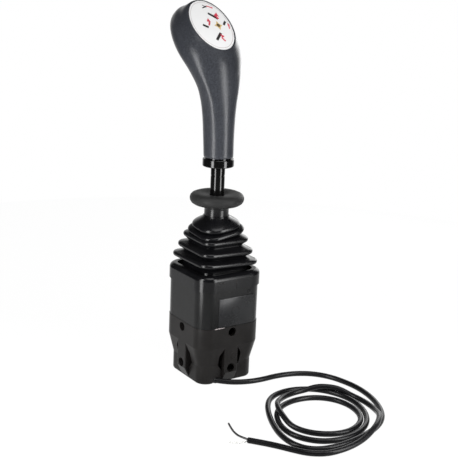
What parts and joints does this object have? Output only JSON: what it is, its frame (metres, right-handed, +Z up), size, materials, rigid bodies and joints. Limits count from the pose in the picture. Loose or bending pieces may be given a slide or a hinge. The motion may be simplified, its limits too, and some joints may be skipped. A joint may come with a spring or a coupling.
{
  "type": "hydraulic pilot joystick valve",
  "caption": "Two-axis joystick lever: square moulded base, rubber bellows, steel rod with guard disc, tall grip with tilted pictogram label, trigger button and loose switch lead.",
  "frame": {"origin": "middle of the base's underside, on the lever's axis", "axes": "+Z up along the lever at rest, +Y away from the operator (the grip's head leans this way), +X to the operator's right"},
  "size_m": [0.1967, 0.3066, 0.4116],
  "materials": {
    "lower_shell": "moulded matte black",
    "upper_shell": "moulded satin dark grey",
    "boot_rubber": "satin black moulded rubber",
    "disc_rubber": "matte dark grey moulded rubber",
    "black_steel": "glossy black coated steel",
    "grip_plastic": "fine textured anthracite plastic",
    "label": "glossy white domed label",
    "switch_plastic": "glossy black plastic",
    "button_rubber": "soft black rubber",
    "cast_ring": "cast, unpainted",
    "steel": "turned steel",
    "bearing_plastic": "natural bearing plastic",
    "cord_jacket": "soft black PVC",
    "black_core": "black core insulation",
    "white_core": "white core insulation"
  },
  "bodies": {
    "housing": {"lower_housing": "lower_shell", "upper_housing": "upper_shell", "housing_screws": "steel", "lead_grommet": "boot_rubber", "bellows_cuff": "boot_rubber", "bellows_lower": "boot_rubber", "pivot_bush_right": "bearing_plastic", "pivot_bush_left": "bearing_plastic", "cord_lead": "cord_jacket", "cord_coil": "cord_jacket", "cord_tail": "cord_jacket", "core_black": "black_core", "core_white": "white_core"},
    "gimbal": {"gimbal_ring": "cast_ring", "gimbal_pin_right": "steel", "gimbal_pin_front": "steel", "gimbal_pin_left": "steel", "gimbal_pin_rear": "steel", "pivot_clip_right": "steel", "pivot_clip_front": "steel", "pivot_clip_left": "steel", "pivot_clip_rear": "steel", "bellows_upper": "boot_rubber"},
    "lever": {"lever_hub": "cast_ring", "pivot_bush_front": "bearing_plastic", "pivot_bush_rear": "bearing_plastic", "rod": "black_steel", "rod_lead": "cord_jacket", "boot_neck": "disc_rubber", "collar_ring": "black_steel", "grip": "grip_plastic", "label_plate": "label", "switch_bezel": "switch_plastic", "switch_body": "switch_plastic"},
    "button": {"push_button": "button_rubber"}
  },
  "joints": [
    {"name": "fore_aft", "type": "hinge", "parent": "housing", "child": "gimbal", "pos_m": [0, 0, 0.092], "axis": [1, 0, 0], "range_deg": [-20, 20], "stiffness_Nm_per_rad": 12, "deforming": ["bellows_lower"]},
    {"name": "side_to_side", "type": "hinge", "parent": "gimbal", "child": "lever", "pos_m": [0, 0, 0.092], "axis": [0, 1, 0], "range_deg": [-20, 20], "stiffness_Nm_per_rad": 12, "deforming": ["bellows_upper"]},
    {"name": "button_press", "type": "slide", "parent": "lever", "child": "button", "axis": [0, -0.809, 0.5878], "range_m": [0, 0.0018], "stiffness_N_per_m": 900}
  ]
}
